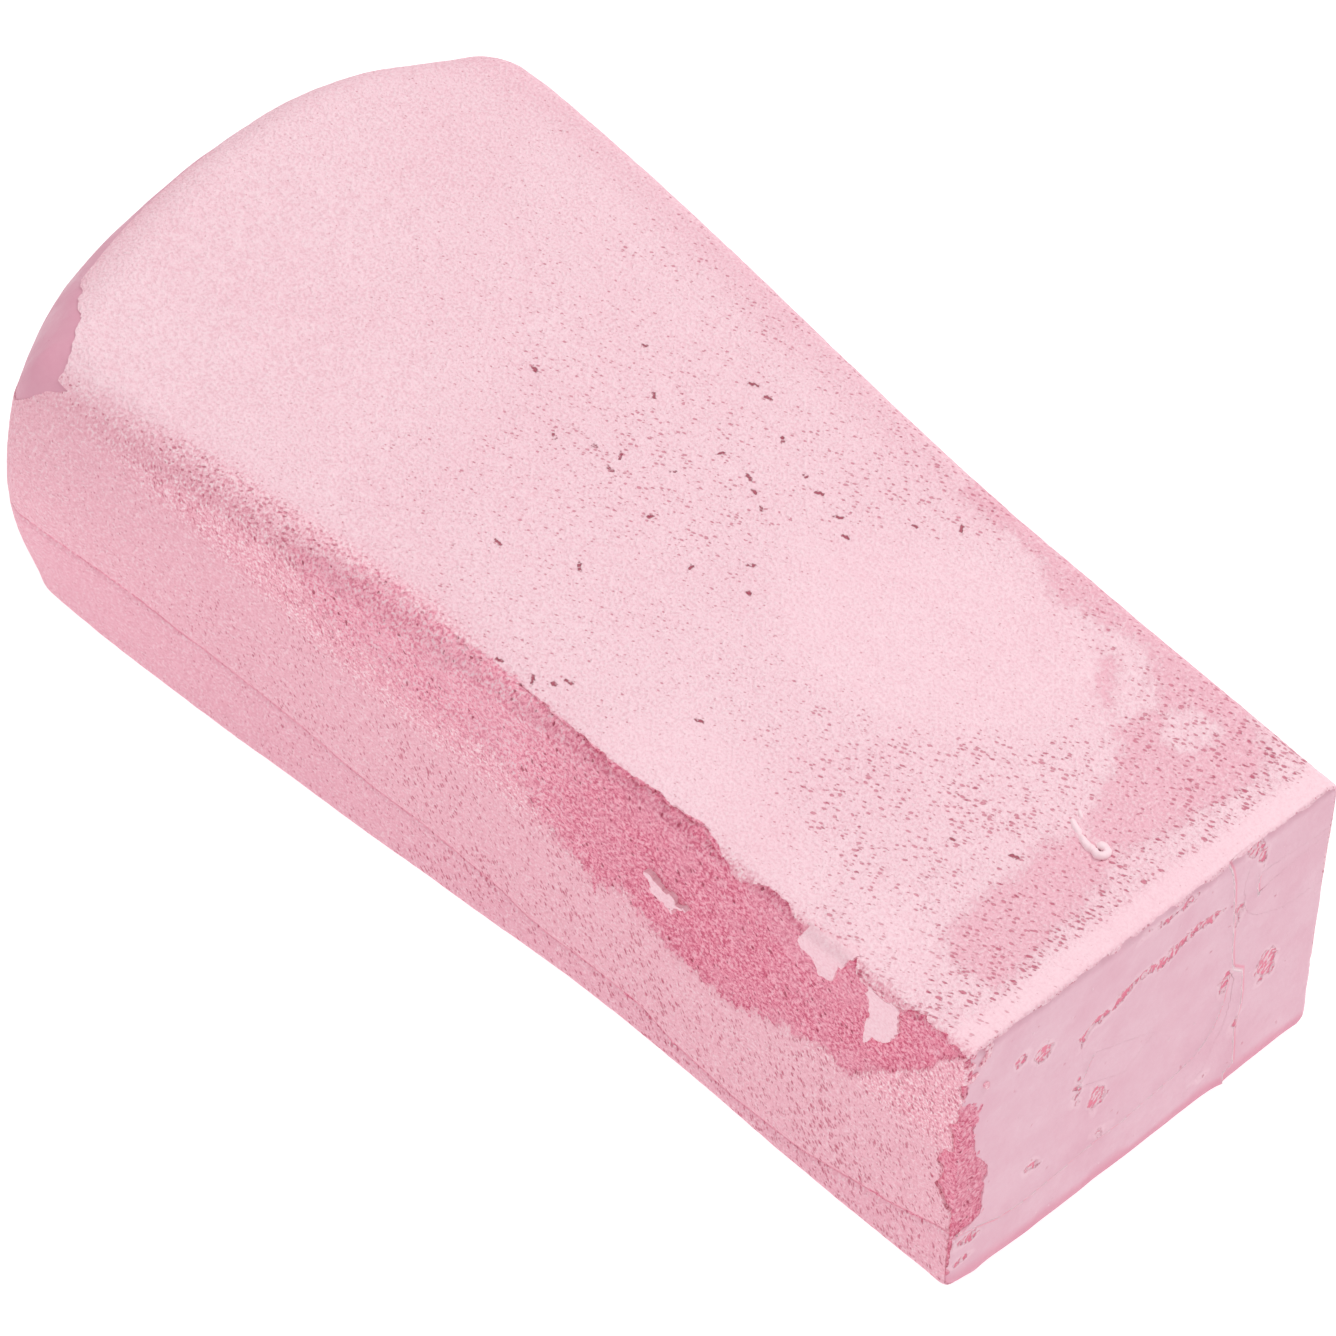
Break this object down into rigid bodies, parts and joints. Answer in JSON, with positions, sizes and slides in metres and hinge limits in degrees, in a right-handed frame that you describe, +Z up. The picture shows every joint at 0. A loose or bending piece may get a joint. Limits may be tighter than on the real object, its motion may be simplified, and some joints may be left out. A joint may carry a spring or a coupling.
{
  "type": "clay bar",
  "caption": "Dry cast bar of pink cutting compound: a granular core in a thin pale crust, with one flat narrow end and one wide bowed end.",
  "frame": {"origin": "middle of the flat base the bar lies on", "axes": "+X towards the narrow flat end, +Z up out of the top face, +Y towards the right side seen from the bowed end"},
  "size_m": [0.1736, 0.0806, 0.0467],
  "materials": {
    "core": "matte, granular and porous",
    "crust": "matte and chalky, finely pitted",
    "film": "smooth, waxy, satin"
  },
  "bodies": {
    "root": {"core": "core", "top_crust": "crust", "left_crust": "crust", "right_crust": "crust", "base_crust": "crust", "near_end_film": "film", "far_end_film": "film", "crust_flakes": "crust", "crumbs": "crust"}
  },
  "joints": []
}
